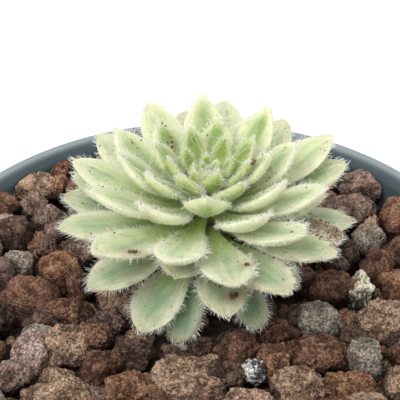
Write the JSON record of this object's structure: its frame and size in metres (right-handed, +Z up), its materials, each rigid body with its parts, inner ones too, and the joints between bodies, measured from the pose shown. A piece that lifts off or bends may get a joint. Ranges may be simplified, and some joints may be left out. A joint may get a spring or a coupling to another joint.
{
  "type": "potted cobweb houseleek",
  "caption": "Round nursery pot with a stepped band and drain holes, filled with potting mix and lava gravel, holding one spiral rosette of fleshy pointed leaves",
  "frame": {"origin": "the middle of the pot's underside, on its flat resting face", "axes": "+Z up along the pot's axis to the top of the rosette, -Y the front as pictured, +X to the viewer's right"},
  "size_m": [0.105, 0.105, 0.1106],
  "materials": {
    "pot": "dark slate grey nursery plastic, satin",
    "potting_mix": "dark brown peat and bark, matte",
    "gravel": "rough reddish brown lava, matte",
    "stem": "corky brown stem, matte",
    "leaf": "fleshy pale green leaf with white hairs, soft sheen",
    "young_leaf": "young green leaf with dense white down, matte"
  },
  "bodies": {
    "root": {"gravel": "gravel", "heart": "young_leaf", "leaf_16": "leaf", "leaf_17": "leaf", "leaf_18": "leaf", "leaf_19": "leaf", "leaf_20": "leaf", "leaf_21": "leaf", "leaf_22": "leaf", "leaf_23": "leaf", "leaf_24": "leaf", "leaf_25": "leaf", "leaf_26": "leaf", "leaf_27": "leaf", "leaf_28": "leaf", "leaf_29": "leaf", "leaf_30": "leaf", "leaf_31": "leaf", "leaf_32": "leaf", "leaf_33": "leaf", "leaf_34": "leaf", "leaf_35": "leaf", "leaf_36": "leaf", "leaf_37": "leaf", "leaf_38": "leaf", "leaf_39": "leaf", "leaf_40": "leaf", "leaf_41": "leaf", "leaf_42": "leaf", "leaf_43": "leaf", "leaf_44": "leaf", "leaf_45": "leaf", "leaf_46": "leaf", "leaf_47": "leaf", "leaf_48": "leaf", "leaf_49": "leaf", "leaf_50": "leaf", "leaf_51": "leaf", "leaf_52": "leaf", "leaf_53": "leaf", "leaf_54": "leaf", "leaf_55": "leaf", "leaf_56": "leaf", "leaf_57": "leaf", "leaf_58": "leaf", "leaf_59": "leaf", "leaf_60": "leaf", "leaf_61": "leaf", "leaf_62": "leaf", "leaf_63": "leaf", "leaf_64": "leaf", "leaf_65": "leaf", "leaf_66": "leaf", "leaf_67": "leaf", "pot": "pot", "potting_mix": "potting_mix", "stem": "stem"}
  },
  "joints": []
}
